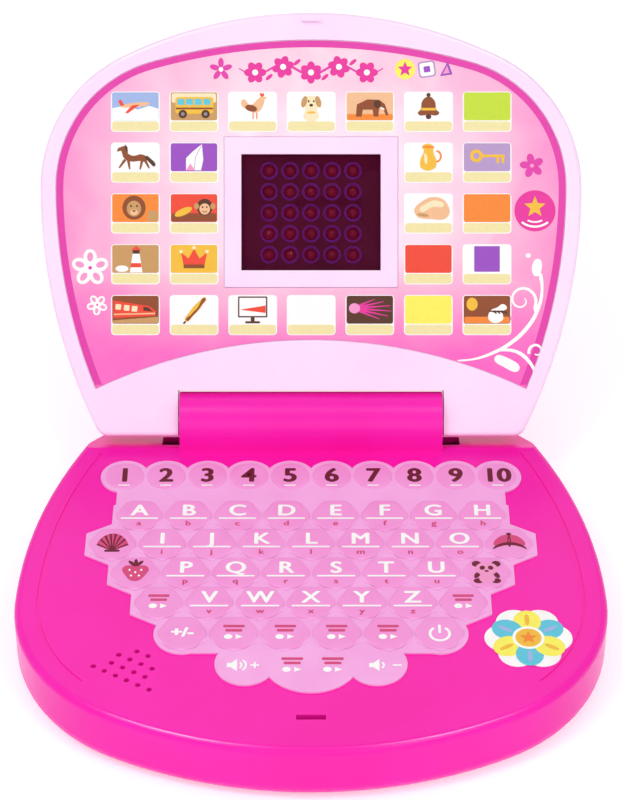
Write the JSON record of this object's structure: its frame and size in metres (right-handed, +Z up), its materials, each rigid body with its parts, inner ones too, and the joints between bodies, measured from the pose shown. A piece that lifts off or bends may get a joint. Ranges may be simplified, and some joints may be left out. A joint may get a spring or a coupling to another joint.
{
  "type": "toy laptop computer",
  "caption": "Clamshell toy computer with a rounded base, honeycomb keypad, speaker holes, hinged picture lid with an LED dot display, and a battery door underneath.",
  "frame": {"origin": "on the table under the middle of the open toy's bounding box", "axes": "+X to the right as seen by the child at the keys, +Y from the keys to the lid, +Z up"},
  "size_m": [0.24, 0.3042, 0.1792],
  "materials": {
    "hot_pink": "glossy",
    "keypad_pink": "satin",
    "film": "matte",
    "screw_steel": "plated",
    "foot_rubber": "matte",
    "sticker_paper": "satin",
    "circuit_board": "satin",
    "ivory_plastic": "satin",
    "black_resin": "glossy",
    "capacitor_sleeve": "glossy",
    "pressed_steel": "plated",
    "magnet": "matte",
    "speaker_paper": "matte",
    "cell_wrap": "satin",
    "contact_metal": "plated",
    "pale_pink": "glossy",
    "card_print": "satin",
    "dark_window": "glossy",
    "mask_plastic": "matte",
    "red_led": "clear"
  },
  "bodies": {
    "base": {"base_upper_shell": "hot_pink", "base_lower_shell": "hot_pink", "keypad_sheet": "keypad_pink", "keypad_circuit": "film", "keypad_spacer": "film", "case_screws": "screw_steel", "feet": "foot_rubber", "deck_sticker": "sticker_paper", "main_board": "circuit_board", "board_screws": "screw_steel", "film_connector": "ivory_plastic", "sound_chip": "black_resin", "capacitors": "capacitor_sleeve", "speaker_basket": "pressed_steel", "speaker_magnet": "magnet", "speaker_cone": "speaker_paper", "speaker_screws": "screw_steel", "battery_cells": "cell_wrap", "battery_contacts": "contact_metal"},
    "lid": {"lid_front_frame": "pale_pink", "lid_back_shell": "hot_pink", "display_surround": "pale_pink", "picture_card": "card_print", "display_window": "dark_window", "light_mask": "mask_plastic", "leds": "red_led", "led_board": "circuit_board", "led_board_screws": "screw_steel", "left_hinge_pin": "pressed_steel", "right_hinge_bush": "ivory_plastic", "lid_screws": "screw_steel"},
    "battery_door": {"battery_door": "hot_pink", "battery_door_screw": "screw_steel"}
  },
  "joints": [
    {"name": "lid_hinge", "type": "hinge", "parent": "base", "child": "lid", "pos_m": [0, 0.0379, 0.037], "axis": [1, 0, 0], "range_deg": [-7, 128]},
    {"name": "battery_door_hinge", "type": "hinge", "parent": "base", "child": "battery_door", "pos_m": [0.038, -0.0326, 0.0015], "axis": [1, 0, 0], "range_deg": [0, 25]}
  ]
}
